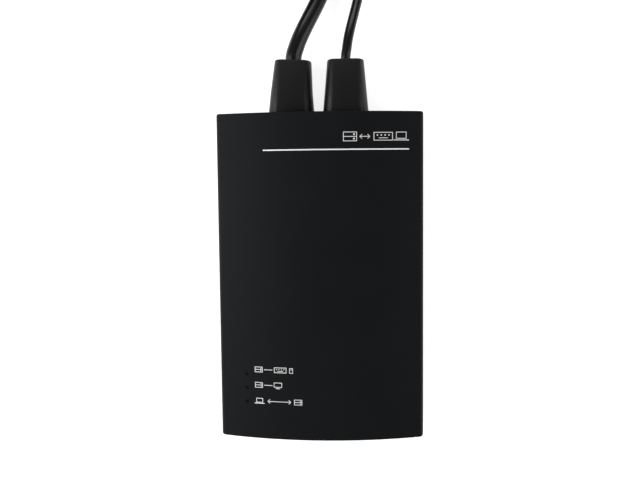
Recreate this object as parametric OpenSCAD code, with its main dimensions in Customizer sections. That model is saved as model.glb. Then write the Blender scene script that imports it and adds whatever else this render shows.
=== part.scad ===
// Crash cart adapter: a two-part moulded case with two captive leads in rubber boots.
// X runs across the case, Y along it towards the leads, Z up from the surface it stands on.

/* [Case] */
// Width of the case
case_w = 82; // [76:1:100]
// Length of the case
case_l = 130; // [124:1:160]
// Height of the vertical sides, from the underside to the edge of the arched top
side_h = 17.8; // [17:0.1:24]
// Rise of the arched top above its edges
crown_h = 6.5; // [4:0.5:9]
// Wall thickness of both covers
wall = 2; // [1.6:0.1:2.4]
// Height of the joint between the covers above the underside
split_h = 11; // [10.8:0.1:12]
// Radius of the long edges of the top
edge_r = 2.5; // [2.5:0.1:4]
// Radius of the long edges of the underside
corner_r = 2.5; // [2.5:0.1:4]
// Radius of the upright corners
upright_r = 1; // [0.4:0.1:1.4]
// Height of the tongue that locates the covers on each other
lap_h = 1.5; // [1:0.1:2]
// Clearance round the tongue
lap_gap = 0.1; // [0.05:0.05:0.2]

/* [Feet and case screws] */
// Radius of a rubber foot
foot_r = 4.5; // [3:0.5:6]
// How far a foot stands out of the underside
foot_out = 1.2; // [0.8:0.1:2]
// Depth of the recess that a foot is glued into
foot_recess = 0.8; // [0.4:0.1:1]
// Distance of a foot's centre from the side of the case
foot_from_side = 9; // [8:0.5:12]
// Distance of a foot's centre from the end of the case
foot_from_end = 19; // [17:0.5:26]
// Distance of a case screw from the side of the case
screw_from_side = 6.5; // [6.2:0.1:8]
// Distance of a case screw from the end of the case
screw_from_end = 7; // [6.5:0.1:8]
// Radius of a case screw's shank
screw_r = 1.25; // [1:0.05:1.5]
// Length of a case screw's shank
screw_l = 14; // [10:0.5:15]
// Radius of a case screw's head
screw_head_r = 2.6; // [2.2:0.1:2.8]
// Height of a case screw's head
screw_head_h = 1.8; // [1.2:0.1:2.2]

/* [Circuit board] */
// Thickness of the circuit board
board_t = 1.6; // [1:0.1:2]
// Height of the board's underside above the floor of the case
board_lift = 2.4; // [2:0.1:2.6]
// Distance of a board screw from the side of the case
board_screw_from_side = 9; // [8:0.5:13]
// Distance of a board screw from the end of the case
board_screw_from_end = 35; // [32:0.5:45]

/* [Status lights] */
// Distance of the row of lights from the side of the case
light_from_side = 11.3; // [10:0.1:14]
// Distance of the middle light from the end of the case
light_from_end = 20.6; // [20:0.1:23]
// Spacing of the lights
light_pitch = 5.65; // [5:0.05:6]
// Radius of a light guide's tip
light_r = 0.6; // [0.4:0.05:0.9]

/* [Boots] */
// Spacing of the two boots
boot_pitch = 21.8; // [21:0.1:24]
// Sideways shift of the pair of boots
boot_shift = -0.4; // [-2:0.1:2]
// Length of a boot outside the case
boot_l = 21; // [16:0.1:30]
// Width of a boot at the case
boot_w = 18.2; // [17:0.1:19]
// Height of a boot at the case
boot_h = 14.5; // [13:0.1:15]
// Width of a boot at its tip
boot_tip_w = 14.6; // [10:0.1:15]
// Height of a boot at its tip
boot_tip_h = 11.6; // [9:0.1:12.5]
// Corner radius of a boot at the case
boot_r = 4.1; // [2:0.1:5]
// Corner radius of a boot at its tip
boot_tip_r = 3.2; // [1.5:0.1:4]
// Rounding of the tip's edge
boot_tip_round = 0.5; // [0.4:0.1:1.4]
// Angle that the video boot has taken, pulled by its lead
video_boot_lean = -2.4; // [-4:0.1:4]

/* [Leads] */
// Diameter of the video lead
video_d = 6.5; // [5.4:0.1:6.6]
// Diameter of the data lead
data_d = 3.9; // [3.4:0.1:4.1]
// Largest radius of the video lead's coil
video_coil_r = 38.8; // [38:0.1:42]
// Largest radius of the data lead's coil
data_coil_r = 28.25; // [27.5:0.25:30]
// Space between neighbouring turns of a coil
turn_gap = 0.6; // [0.5:0.05:0.8]
// Turns of the video lead's coil
video_turns = 4; // [2:2:4]
// Turns of the data lead's coil
data_turns = 6; // [2:2:6]

/* [Video plug] */
// Spacing of the two thumbscrews
jack_pitch = 24.99; // [24.9:0.01:25.1]
// Radius of a thumbscrew's threaded end
jack_r = 1.42; // [1.3:0.01:1.5]
// Radius of a thumbscrew's shank behind its thread
jack_shank_r = 1.2; // [1:0.01:1.25]
// Running clearance of a thumbscrew in the hood
jack_gap = 0.08; // [0.05:0.01:0.1]
// How far a thumbscrew stands out of the flange
jack_out = 6.5; // [5:0.5:8]
// Width of the hood
hood_w = 31; // [30.6:0.1:34]
// Height of the hood
hood_h = 15.5; // [14:0.1:17]
// Length of the hood's wide front block
hood_front_l = 16; // [12:0.5:20]
// Length of the hood's narrow rear block
hood_rear_l = 18; // [15:0.5:22]
// Width of the hood's rear block
hood_rear_w = 16.2; // [12:0.1:16.2]
// Radius of a thumbscrew's knob
knob_r = 3.9; // [3:0.1:4]
// Length of a thumbscrew's knob
knob_l = 12.5; // [8:0.5:14]
// Number of grooves round a knob
knob_grooves = 14; // [8:1:18]

/* [Data plug] */
// Width of the metal shell
data_shell_w = 12; // [11.9:0.1:12.1]
// Height of the metal shell
data_shell_h = 4.5; // [4.4:0.1:4.6]
// Length of the metal shell outside the body
data_shell_l = 11.75; // [11.5:0.05:12]
// Width of the moulded body
data_body_w = 16; // [15:0.1:16.5]
// Height of the moulded body
data_body_h = 8; // [7:0.1:8.4]
// Length of the moulded body
data_body_l = 22; // [16:0.5:26]

/* [Console socket] */
// Width of the socket's metal shell
socket_w = 7.7; // [7.5:0.1:8]
// Height of the socket's metal shell
socket_h = 3.9; // [3.8:0.1:4]
// Length of the socket's metal shell
socket_l = 9.2; // [8:0.1:10]

/* [Hidden] */
$fn = 64;
// Segments of the large arch of the top
arch_fn = 360;
// How far a cutting shape runs past what it cuts
over = 0.5;
// Space left between pieces that lie on or beside each other
rest_gap = 0.3;
// Space left round a pin, shank or wire in its hole
fit_gap = 0.05;

// The arched section of the case
base_z = foot_out;
split_z = base_z + split_h;
side_z = base_z + side_h;
top_z = side_z + crown_h;
half_w = case_w / 2;
half_l = case_l / 2;
arch_r = (pow(half_w, 2) + pow(crown_h, 2)) / (2 * crown_h);
arch_z = top_z - arch_r;
edge_x = half_w - edge_r;
edge_z = arch_z + sqrt(pow(arch_r - edge_r, 2) - pow(edge_x, 2));
floor_z = base_z + wall;
lap_t = wall / 2;
function arch_height(x) = arch_z + sqrt(pow(arch_r, 2) - pow(x, 2));

// Screws, bosses and board
screw_x = half_w - screw_from_side;
screw_y = half_l - screw_from_end;
boss_wall = 2.6;
boss_r = screw_r + boss_wall;
screw_hole_r = screw_r + rest_gap;
screw_recess = 0.8;
head_depth = screw_head_h + screw_recess;
head_seat_z = base_z + head_depth;
head_to_split = split_z - head_seat_z;
board_z = floor_z + board_lift;
board_top = board_z + board_t;
board_gap = 0.7;
board_side = half_w - wall - board_gap;
board_front = -(half_l - wall - board_gap);
board_back_gap = 6;
board_back = half_l - board_back_gap;
notch_gap = 0.9;
board_screw_x = half_w - board_screw_from_side;
board_screw_y = half_l - board_screw_from_end;
board_screw_r = 1;
board_head_r = 2;
board_head_h = 1.3;
board_screw_l = board_t + board_lift;
standoff_r = 2.8;
rib_t = 1.2;
rib_depth = 2;
rib_spacing = 28;
foot_round = 0.5;

// Lights and their clear guide
light_x = half_w - light_from_side;
light_y = half_l - light_from_end;
led_x = -light_x;
led_w = 1.6;
led_h = 0.7;
light_ys = [for (i = [-1 : 1]) -light_y + i * light_pitch];
guide_r = 1.2;
guide_bar_t = 1.4;
guide_bar_w = 3.2;
guide_end = 3.4;
guide_recess = 0.4;
guide_drop = 1.6;
guide_z = arch_height(light_x) - wall - guide_drop;
guide_post_r = 1;

// Places of the boots
neck_w = 15;
neck_h = 11;
neck_r = 2.5;
flange_t = 2.5;
video_x = -boot_pitch / 2 + boot_shift;
data_x = boot_pitch / 2 + boot_shift;
boot_z = split_z;
boot_slab_t = 0.02;
video_tip_x = video_x - boot_l * sin(video_boot_lean);
tip_y = half_l + boot_l;

// Leads inside the case
jacket_l = 3.5;
wire_l = 7;
wire_y = half_l - wall - flange_t - jacket_l;
housing_l = 6;
housing_in = 3;
header_wall = 0.8;
header_back = 3;
video_wire_r = 0.45;
video_wire_pitch = 1.25;
video_wire_columns = 4;
video_housing_w = 7.4;
video_housing_h = 4.4;
data_wire_r = 0.35;
data_wire_pitch = 1;
data_wire_columns = 4;
data_housing_w = 6;
data_housing_h = 3.2;

header_y = wire_y - wire_l - housing_l - header_back;

// Parts on the board: their places are shares of half the case's width and length
function on_board(share) = [share.x * half_w, share.y * half_l];
socket_gap = 0.35;
socket_t = 0.3;
socket_chamfer = 1.1;
socket_insert_t = 1.1;
socket_insert_w = 4.6;
socket_front = -half_l;
socket_contacts = 5;
socket_contact_pitch = 0.8;
socket_contact_w = 0.35;
socket_contact_t = 0.15;
chip_h = 1.4;
chip_lift = 0.2;
chip_lead_w = 0.5;
chip_lead_l = 1.2;
chip_lead_t = 0.25;
chip_mark_r = 0.5;
chip_mark_depth = 0.15;
video_chip_w = 16;
video_chip_leads = 12;
logic_chip_w = 20;
logic_chip_leads = 15;
memory_chip_w = 10;
memory_chip_l = 20;
memory_chip_leads = 14;
data_chip_w = 7;
data_chip_leads = 8;
video_chip_share = [-0.27, 0.33];
logic_chip_share = [-0.1, -0.15];
memory_chip_share = [0.54, -0.18];
data_chip_share = [0.29, 0.31];
crystal_w = 4.5;
crystal_l = 11;
crystal_h = 3.5;
crystal_base_t = 0.4;
crystal_r = 2.2;
crystal_gap = 2.8;
crystal_shares = [[0.34, (header_y - crystal_gap - crystal_w / 2) / half_l], [0.07, -0.62]];
capacitor_r = 3.1;
capacitor_h = 7;
capacitor_base_w = 6.6;
capacitor_base_t = 1;
capacitor_shares = [[0.585, -0.646], [0.39, -0.523], [0.73, 0.185]];
inductor_w = 8;
inductor_h = 4;
inductor_r = 3.2;
inductor_share = [0.34, -0.677];
small_w = 2;
small_l = 1.2;
small_h = 0.9;
small_end = 0.4;
small_row_shares = [[-0.6, 0.09], [-0.75, -0.06], [0.2, 0.12], [0.05, -0.4], [-0.34, -0.55]];
small_count = 4;
small_pitch = 3.2;

// Coils: the middle of each coil, the angle where its first turn starts and where its last ends
video_coil_at = [-24, 155];
data_coil_at = [-20, 155];
video_start = -23;
data_start = 35;
tie_t = 0.6;
tie_w = 8;
tie_side_gap = 0.5;
tie_end_l = 5;
video_tie_angle = 168.5;
data_tie_angle = 225;
coil_lift = 1.2;
video_pitch = video_d + turn_gap;
data_pitch = data_d + turn_gap;
video_low = tie_t + rest_gap + video_d / 2;
video_high = video_low + video_pitch;
data_low = video_high + video_d / 2 + coil_lift + data_d / 2;
turn_rings = 24;
coil_sides = 6;
cord_sides = 8;
corner_steps = 6;
climb_angle = 180;
probe_angle = 0.5;

// Routes of the free stretches, from each boot's tip to its coil, chosen by hand
video_route = [[-9.6, 90.4, 12.1], [-8.3, 94.2, 11.6], [-6.3, 98.7, 10.6], [-4, 103.5, 9.1],
    [-1.6, 108.5, 7.4], [0.8, 114, 5.7], [3.4, 120, 4.6], [6.2, 126.5, 4.2]];
data_route = [[10.9, 90, 12.1], [11.6, 95, 11.4], [12.7, 100, 9.9], [13.9, 105, 7.9],
    [15.1, 110, 6], [16.2, 115, 4.6], [17.2, 120, 4], [18, 125, 4.3], [18.7, 130, 5.6],
    [19, 135, 7.6], [19.1, 140, 10.3], [18.6, 145, 13.3], [17, 150.5, 15.8], [14.4, 156, 17.2],
    [11, 161, 17.6]];

// Shares of a tail's way from its coil to its plug, and of its fall there
tail_shares = [0.35, 0.65];
tail_fall_shares = [0.22, 0.78];

// Video plug
plug_r = 2.6;
relief_l = 12;
relief_r = 4.6;
relief_end_r = 3.9;
relief_slots = 3;
relief_slot_w = 1;
relief_slot_depth = 0.7;
hood_round = 2.6;
hood_rear_h = 13.4;
hood_step = 2;
knob_gap = 0.4;
shell_t = 0.5;
d_w = 16.9;
d_h = 8.35;
d_taper_angle = 10;
d_out = 5.8;
d_flange_w = 30.8;
d_flange_h = 12.5;
d_flange_r = 2;
d_flange_t = 0.8;
d_insert_t = 2;
pin_r = 0.38;
pin_l = 3.6;
pin_pitch = 2.29;
pin_row_pitch = 1.98;
pin_columns = 5;
knob_groove_r = 0.5;
knob_tip = 0.7;
driver_slot_w = 1;
driver_slot_depth = 1.2;
video_plug_gap = 22;
video_plug_side = 0.6;
video_plug_x = video_coil_at.x + video_coil_r + video_plug_side;
video_plug_y = video_coil_at.y + video_plug_gap;
video_plug_z = hood_h / 2;
hood_front_u = relief_l + hood_rear_l;
hood_end_u = hood_front_u + hood_front_l;

// Data plug
data_round = 2;
data_relief_l = 9;
data_relief_r = 3;
data_relief_end_r = 2.5;
data_shell_t = 0.3;
data_shell_corner = 0.7;
data_insert_h = 1.9;
data_insert_inset = 0.8;
data_window_w = 2.5;
data_window_l = 2;
data_window_pitch = 5;
data_window_from_tip = 5;
data_contacts = 4;
data_contact_w = 1;
data_contact_t = 0.15;
data_contact_l = 7.4;
data_contact_pitch = 2.2;
data_plug_gap = 31;
data_plug_side = 1.8;
data_plug_x = data_coil_at.x + data_coil_r + data_plug_side;
data_plug_y = data_coil_at.y + data_plug_gap;
data_plug_z = hood_h + rest_gap + data_body_h / 2;

// Rounded rectangle with true arcs, centred
module rounded_rectangle(w, h, r) {
    square([w - 2 * r, h], center = true);
    square([w, h - 2 * r], center = true);
    for (x = [-1, 1], y = [-1, 1])
        translate([x * (w / 2 - r), y * (h / 2 - r)])
            circle(r);
}

// Convex outline with rounded corners, whose centres run anticlockwise
function outward(a, b) = atan2(a.x - b.x, b.y - a.y);
module rounded_outline(centres, r) {
    n = len(centres);
    polygon([for (i = [0 : n - 1])
        let (c = centres[i],
            from = outward(centres[(i + n - 1) % n], c),
            sweep = (outward(c, centres[(i + 1) % n]) - from + 360) % 360)
        for (k = [0 : corner_steps])
            c + r * [cos(from + sweep * k / corner_steps), sin(from + sweep * k / corner_steps)]]);
}

// Stands a drawing of the XZ plane up and pushes it from y = from to y = to
module along_y(from, to) {
    translate([0, to, 0])
        rotate([90, 0, 0])
            linear_extrude(to - from)
                children();
}

// A cylinder along Y
module bar_y(r, from, to) {
    along_y(from, to)
        circle(r);
}

module corners(x, y) {
    for (sx = [-1, 1], sy = [-1, 1])
        translate([sx * x, sy * y, 0])
            children();
}

// Section of the case, a given distance inside its outer surface
module section(inset) {
    r = edge_r - inset;
    low_r = corner_r - inset;
    low_x = half_w - corner_r;
    tangent_x = edge_x * (arch_r - inset) / (arch_r - edge_r);
    intersection() {
        translate([0, arch_z])
            circle(arch_r - inset, $fn = arch_fn);
        translate([-tangent_x, base_z + inset])
            square([2 * tangent_x, top_z - base_z]);
    }
    translate([-half_w + inset, base_z + corner_r])
        square([case_w - 2 * inset, edge_z - base_z - corner_r]);
    translate([-low_x, base_z + inset])
        square([2 * low_x, edge_z - base_z]);
    for (s = [-1, 1]) {
        translate([s * edge_x, edge_z])
            circle(r);
        translate([s * low_x, base_z + corner_r])
            circle(low_r);
    }
}

// The whole outside of the case, with its upright corners rounded
module case_body() {
    intersection() {
        along_y(-half_l, half_l)
            section(0);
        translate([0, 0, base_z - over])
            linear_extrude(top_z - base_z + 2 * over)
                rounded_rectangle(case_w, case_l, upright_r);
    }
}

module case_cavity() {
    along_y(-half_l + wall, half_l - wall)
        section(wall);
}

// Half space above or below the joint between the covers
module slab(from, to) {
    translate([-half_w - over, -half_l - over, from])
        cube([case_w + 2 * over, case_l + 2 * over, to - from]);
}

// Holes in the end wall for the necks of the two boots
module boot_holes() {
    for (x = [video_x, data_x])
        translate([x, 0, boot_z])
            along_y(half_l - wall - over, half_l + over)
                rounded_rectangle(neck_w + 2 * fit_gap, neck_h + 2 * fit_gap, neck_r);
}

// Top cover: the arched upper shell, with screw bosses, stiffening ribs and light holes
module top_cover() color("#232427") {
    difference() {
        union() {
            difference() {
                intersection() {
                    case_body();
                    slab(split_z, top_z + over);
                }
                case_cavity();
                translate([-half_w + lap_t, -half_l + lap_t, split_z - over])
                    cube([case_w - 2 * lap_t, case_l - 2 * lap_t, lap_h + lap_gap + over]);
            }
            intersection() {
                union() {
                    corners(screw_x, screw_y)
                        translate([0, 0, split_z + lap_gap])
                            cylinder(r = boss_r, h = top_z - split_z);
                    for (y = [light_ys[0] - guide_end / 2, light_ys[2] + guide_end / 2])
                        translate([led_x, y, guide_z])
                            cylinder(r = guide_post_r, h = top_z - guide_z);
                    for (i = [-1 : 1])
                        along_y(i * rib_spacing - rib_t / 2, i * rib_spacing + rib_t / 2)
                            arch_rib();
                }
                along_y(-half_l + wall, half_l - wall)
                    section(wall / 2);
            }
        }
        corners(screw_x, screw_y)
            translate([0, 0, split_z - over])
                cylinder(r = screw_r + fit_gap, h = screw_l - head_to_split + over + rest_gap);
        for (y = light_ys)
            translate([led_x, y, guide_z])
                cylinder(r = light_r + 2 * fit_gap, h = top_z - guide_z);
        boot_holes();
    }
}

// Cross rib under the arch
module arch_rib() {
    intersection() {
        difference() {
            translate([0, arch_z])
                circle(arch_r - wall / 2, $fn = arch_fn);
            translate([0, arch_z])
                circle(arch_r - wall - rib_depth, $fn = arch_fn);
        }
        translate([-edge_x, split_z])
            square([2 * edge_x, top_z - split_z]);
    }
}

// Bottom cover: the tray, with its tongue, screw bosses, standoffs and recesses for the feet
module bottom_cover() color("#26272a") {
    difference() {
        union() {
            difference() {
                intersection() {
                    case_body();
                    slab(base_z - over, split_z);
                }
                case_cavity();
            }
            tongue();
            corners(screw_x, screw_y)
                translate([0, 0, base_z + wall / 2])
                    cylinder(r = boss_r, h = split_z - base_z - wall / 2);
            corners(board_screw_x, board_screw_y)
                translate([0, 0, base_z + wall / 2])
                    cylinder(r = standoff_r, h = board_z - base_z - wall / 2);
        }
        corners(screw_x, screw_y) {
            translate([0, 0, base_z - over])
                cylinder(r = screw_hole_r, h = split_z - base_z + 2 * over);
            translate([0, 0, base_z - over])
                cylinder(r = screw_head_r + rest_gap, h = head_depth + over);
        }
        corners(board_screw_x, board_screw_y)
            translate([0, 0, floor_z])
                cylinder(r = board_screw_r + fit_gap, h = board_lift + over);
        corners(half_w - foot_from_side, half_l - foot_from_end)
            translate([0, 0, base_z - over])
                cylinder(r = foot_r + fit_gap, h = foot_recess + over);
        boot_holes();
        translate([0, 0, board_top + socket_h / 2])
            along_y(-half_l - over, -half_l + wall + over)
                square([socket_w + 2 * socket_gap, socket_h + 2 * socket_gap], center = true);
    }
}

// Tongue round the tray's rim, on the inner half of the wall
module tongue() {
    outer = lap_t + lap_gap;
    difference() {
        translate([-half_w + outer, -half_l + outer, split_z - lap_h])
            cube([case_w - 2 * outer, case_l - 2 * outer, 2 * lap_h]);
        translate([-half_w + wall, -half_l + wall, split_z - lap_h - over])
            cube([case_w - 2 * wall, case_l - 2 * wall, 2 * lap_h + 2 * over]);
    }
}

// Four self-tapping screws that hold the covers together from below
module case_screws() color("#8a8c8f") {
    corners(screw_x, screw_y)
        difference() {
            union() {
                translate([0, 0, head_seat_z - screw_head_h])
                    cylinder(r = screw_head_r, h = screw_head_h);
                translate([0, 0, head_seat_z - screw_head_h / 2])
                    cylinder(r = screw_r, h = screw_l + screw_head_h / 2);
            }
            for (a = [0, 90])
                rotate([0, 0, a])
                    translate([-screw_head_r / 2, -screw_head_r / 10, head_seat_z - 2 * screw_head_h])
                        cube([screw_head_r, screw_head_r / 5, screw_head_h * 3 / 2]);
        }
}

// Four round feet, glued into their recesses
module rubber_feet() color("#17181a") {
    corners(half_w - foot_from_side, half_l - foot_from_end)
        rotate_extrude()
            union() {
                square([foot_r - foot_round, foot_out + foot_recess]);
                translate([0, foot_round])
                    square([foot_r, foot_out + foot_recess - foot_round]);
                translate([foot_r - foot_round, foot_round])
                    circle(foot_round);
            }
}

// Circuit board, notched round the screw bosses
module circuit_board() color("#1f5a38") {
    notch_x = screw_x - boss_r - notch_gap;
    notch_y = screw_y - boss_r - notch_gap;
    translate([0, 0, board_z])
        linear_extrude(board_t)
            difference() {
                translate([-board_side, board_front])
                    square([2 * board_side, board_back - board_front]);
                for (sx = [-1, 1], sy = [-1, 1]) {
                    translate([sx * (notch_x + half_w) / 2, sy * (notch_y + half_l) / 2])
                        square([half_w - notch_x, half_l - notch_y], center = true);
                    translate([sx * board_screw_x, sy * board_screw_y])
                        circle(board_screw_r + rest_gap);
                }
            }
}

// Four small screws that hold the board on its standoffs
module board_screws() color("#b9bbbd") {
    corners(board_screw_x, board_screw_y) {
        translate([0, 0, board_top])
            cylinder(r = board_head_r, h = board_head_h);
        translate([0, 0, board_top - board_screw_l + rest_gap])
            cylinder(r = board_screw_r, h = board_screw_l);
    }
}

// One clear moulding that carries the light of the three lamps to the top
module light_guide() color("#cfd6da") {
    translate([led_x, 0, 0]) {
        translate([-guide_bar_w / 2, light_ys[0] - guide_end, guide_z - guide_bar_t])
            cube([guide_bar_w, 2 * light_pitch + 2 * guide_end, guide_bar_t]);
        for (y = light_ys)
            translate([0, y, 0]) {
                translate([0, 0, board_top + led_h + rest_gap])
                    cylinder(r = guide_r, h = guide_z - guide_bar_t / 2 - board_top - led_h - rest_gap);
                translate([0, 0, guide_z - guide_bar_t / 2])
                    cylinder(r = light_r, h = arch_height(light_x) - guide_recess
                        - guide_z + guide_bar_t / 2);
            }
    }
}

// Three surface-mounted lamps under the guide
module status_leds() color("#e8e4cf") {
    for (y = light_ys)
        translate([led_x - led_w / 2, y - led_w / 2, board_top])
            cube([led_w, led_w, led_h]);
}

// Outline of the small console socket, wide above and narrow below
module socket_outline(inset) {
    w = socket_w / 2 - inset;
    h = socket_h / 2 - inset;
    c = socket_chamfer;
    polygon([[-w, h], [-w, -h + c], [-w + c, -h], [w - c, -h], [w, -h + c], [w, h]]);
}

module console_socket_shell() color("#c3c5c7") {
    translate([0, 0, board_top + socket_h / 2]) {
        along_y(socket_front, socket_front + socket_l)
            difference() {
                socket_outline(0);
                socket_outline(socket_t);
            }
        along_y(socket_front + socket_l - socket_t, socket_front + socket_l)
            socket_outline(socket_t / 2);
    }
}

module console_socket_insert() color("#141414") {
    back = socket_front + socket_l - socket_t;
    translate([0, 0, board_top + socket_h / 2]) {
        along_y(back - socket_l / 4, back)
            socket_outline(socket_t + fit_gap);
        along_y(socket_front + socket_l / 8, back - socket_l / 8)
            square([socket_insert_w, socket_insert_t], center = true);
    }
}

module console_socket_contacts() color("#d8b45a") {
    for (i = [0 : socket_contacts - 1])
        translate([(i - (socket_contacts - 1) / 2) * socket_contact_pitch - socket_contact_w / 2,
            socket_front + socket_l / 6, board_top + socket_h / 2 - socket_insert_t / 2 - socket_contact_t])
            cube([socket_contact_w, socket_l / 2, socket_contact_t]);
}

// Flat chip with gull-wing leads along the sides that lead_sides names
module chip(share, w, l, leads, lead_sides) {
    at = on_board(share);
    translate([at.x, at.y, board_top]) {
        difference() {
            translate([-w / 2, -l / 2, chip_lift])
                cube([w, l, chip_h]);
            translate([2 * chip_mark_r - w / 2, l / 2 - 2 * chip_mark_r,
                chip_lift + chip_h - chip_mark_depth])
                cylinder(r = chip_mark_r, h = chip_mark_depth + over);
        }
        for (side = lead_sides)
            rotate([0, 0, side])
                let (reach = side % 180 == 0 ? w / 2 : l / 2, run = side % 180 == 0 ? l : w)
                for (i = [0 : leads - 1])
                    translate([reach, ((i + 0.5) / leads - 0.5) * run * 9 / 10 - chip_lead_w / 2, 0]) {
                        translate([0, 0, chip_lift + chip_h / 3])
                            cube([chip_lead_l / 2, chip_lead_w, chip_lead_t]);
                        translate([chip_lead_l / 2 - chip_lead_t, 0, 0])
                            cube([chip_lead_t, chip_lead_w, chip_lift + chip_h / 3 + chip_lead_t]);
                        translate([chip_lead_l / 2 - chip_lead_t, 0, 0])
                            cube([chip_lead_l / 2, chip_lead_w, chip_lead_t]);
                    }
    }
}

module video_converter_chip() color("#161719")
    chip(video_chip_share, video_chip_w, video_chip_w, video_chip_leads, [0, 90, 180, 270]);

module logic_chip() color("#18191b")
    chip(logic_chip_share, logic_chip_w, logic_chip_w, logic_chip_leads, [0, 90, 180, 270]);

module memory_chip() color("#151618")
    chip(memory_chip_share, memory_chip_w, memory_chip_l, memory_chip_leads, [0, 180]);

module data_controller_chip() color("#17181a")
    chip(data_chip_share, data_chip_w, data_chip_w, data_chip_leads, [0, 90, 180, 270]);

// Two crystals in low metal cans
module clock_crystals() color("#c9cbcd") {
    for (share = crystal_shares)
        translate([on_board(share).x, on_board(share).y, board_top]) {
            linear_extrude(crystal_base_t)
                rounded_rectangle(crystal_l, crystal_w, crystal_r);
            linear_extrude(crystal_h)
                rounded_rectangle(crystal_l - 2 * crystal_base_t, crystal_w - 2 * crystal_base_t,
                    crystal_r - crystal_base_t);
        }
}

module electrolytic_capacitors() color("#b8babd") {
    for (share = capacitor_shares)
        translate([on_board(share).x, on_board(share).y, board_top]) {
            translate([-capacitor_base_w / 2, -capacitor_base_w / 2, 0])
                cube([capacitor_base_w, capacitor_base_w, capacitor_base_t]);
            cylinder(r = capacitor_r, h = capacitor_h);
        }
}

module power_inductor() color("#3a3a3d") {
    translate([on_board(inductor_share).x, on_board(inductor_share).y, board_top])
        difference() {
            linear_extrude(inductor_h)
                rounded_rectangle(inductor_w, inductor_w, inductor_w / 5);
            translate([0, 0, inductor_h - small_h])
                difference() {
                    cylinder(r = inductor_r, h = inductor_h);
                    cylinder(r = inductor_r * 3 / 4, h = inductor_h);
                }
        }
}

// Rows of small ceramic capacitors with metal ends
module chip_capacitors() color("#b39a78") {
    for (share = small_row_shares, i = [0 : small_count - 1])
        translate([on_board(share).x + i * small_pitch, on_board(share).y, board_top]) {
            translate([-small_w / 2, -small_l / 2, small_h / 10])
                cube([small_w, small_l, small_h * 4 / 5]);
            for (s = [-1, 1])
                translate([s * (small_w - small_end) / 2 - small_end / 2, -small_l / 2, 0])
                    cube([small_end, small_l, small_h]);
        }
}

// A lead's header on the board, open towards the lead
module lead_header(x, w, h) {
    outer_w = w + 2 * header_wall + 2 * fit_gap;
    mouth_y = header_y + header_back + housing_in;
    top = boot_z + h / 2 + header_wall;
    difference() {
        translate([x - outer_w / 2, header_y, board_top])
            cube([outer_w, housing_in + header_back, top - board_top]);
        translate([x, 0, boot_z])
            along_y(mouth_y - housing_in - fit_gap, mouth_y + over)
                square([w + 2 * fit_gap, h + 2 * fit_gap], center = true);
    }
}

// The housing crimped on a lead's wires, pushed into the header
module lead_housing(x, w, h) {
    translate([x, 0, boot_z])
        along_y(wire_y - wire_l - housing_l, wire_y - wire_l)
            difference() {
                square([w, h], center = true);
                for (s = [-1, 1])
                    translate([s * w / 2, h / 4])
                        square([header_wall, header_wall], center = true);
            }
}

// The end of a lead's jacket inside the case, and the wires that leave it
module lead_wires(x, d, columns, pitch, rows, wire_r) {
    translate([x, 0, boot_z]) {
        bar_y(d / 2, wire_y, wire_y + jacket_l);
        for (i = [0 : columns - 1], row = rows)
            translate([(i - (columns - 1) / 2) * pitch, 0, row * pitch])
                bar_y(wire_r, wire_y - wire_l, wire_y);
    }
}

module video_lead_header() color("#e9e6dc")
    lead_header(video_x, video_housing_w, video_housing_h);

module video_lead_housing() color("#dedbd0")
    lead_housing(video_x, video_housing_w, video_housing_h);

module video_lead_wires() color("#6d6f73")
    lead_wires(video_x, video_d, video_wire_columns, video_wire_pitch, [-1 / 2, 1 / 2], video_wire_r);

module data_lead_header() color("#e9e6dc")
    lead_header(data_x, data_housing_w, data_housing_h);

module data_lead_housing() color("#dedbd0")
    lead_housing(data_x, data_housing_w, data_housing_h);

module data_lead_wires() color("#6d6f73")
    lead_wires(data_x, data_d, data_wire_columns, data_wire_pitch, [0], data_wire_r);

// Thin slice of a boot, seen along the lead
module boot_slice(y, w, h, r) {
    along_y(y - boot_slab_t, y)
        rounded_rectangle(w, h, r, $fn = 32);
}

// A boot: the tapered outside, a neck through the end wall and a flange behind it
module boot(x, lean) {
    translate([x, half_l, boot_z]) {
        hull() {
            boot_slice(boot_slab_t, boot_w, boot_h, boot_r);
            rotate([0, 0, lean]) {
                boot_slice(boot_l - boot_tip_round, boot_tip_w, boot_tip_h, boot_tip_r);
                boot_slice(boot_l, boot_tip_w - 2 * boot_tip_round, boot_tip_h - 2 * boot_tip_round,
                    boot_tip_r - boot_tip_round);
            }
        }
        along_y(-wall, boot_slab_t)
            rounded_rectangle(neck_w, neck_h, neck_r);
        along_y(-wall - flange_t, -wall)
            rounded_rectangle(boot_w, boot_h, neck_r);
    }
}

module video_boot() color("#1c1b1c")
    boot(video_x, video_boot_lean);

module data_boot() color("#1c1b1c")
    boot(data_x, 0);

// Sweeping a round tube along points: unit vectors, headings and rings
function unit(v) = v / norm(v);
function heading(p, i) = unit(p[min(i + 1, len(p) - 1)] - p[max(i - 1, 0)]);
function ring(p, d, r, n) =
    let (s = unit(cross(d, [0, 0, 1])), u = cross(s, d))
    [for (k = [0 : n - 1])
        let (a = (k + 0.5) * 360 / n)
        p + r * (cos(a) * s + sin(a) * u)];

module tube(points, r, n) {
    last = (len(points) - 1) * n;
    polyhedron(
        points = [for (i = [0 : len(points) - 1]) each ring(points[i], heading(points, i), r, n)],
        faces = concat(
            [for (i = [0 : len(points) - 2], k = [0 : n - 1])
                let (a = i * n + k, b = i * n + (k + 1) % n)
                each [[a, b, b + n], [a, b + n, a + n]]],
            [for (k = [1 : n - 2]) [0, k + 1, k]],
            [for (k = [1 : n - 2]) [last, last + k, last + k + 1]]),
        convexity = 10);
}

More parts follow.
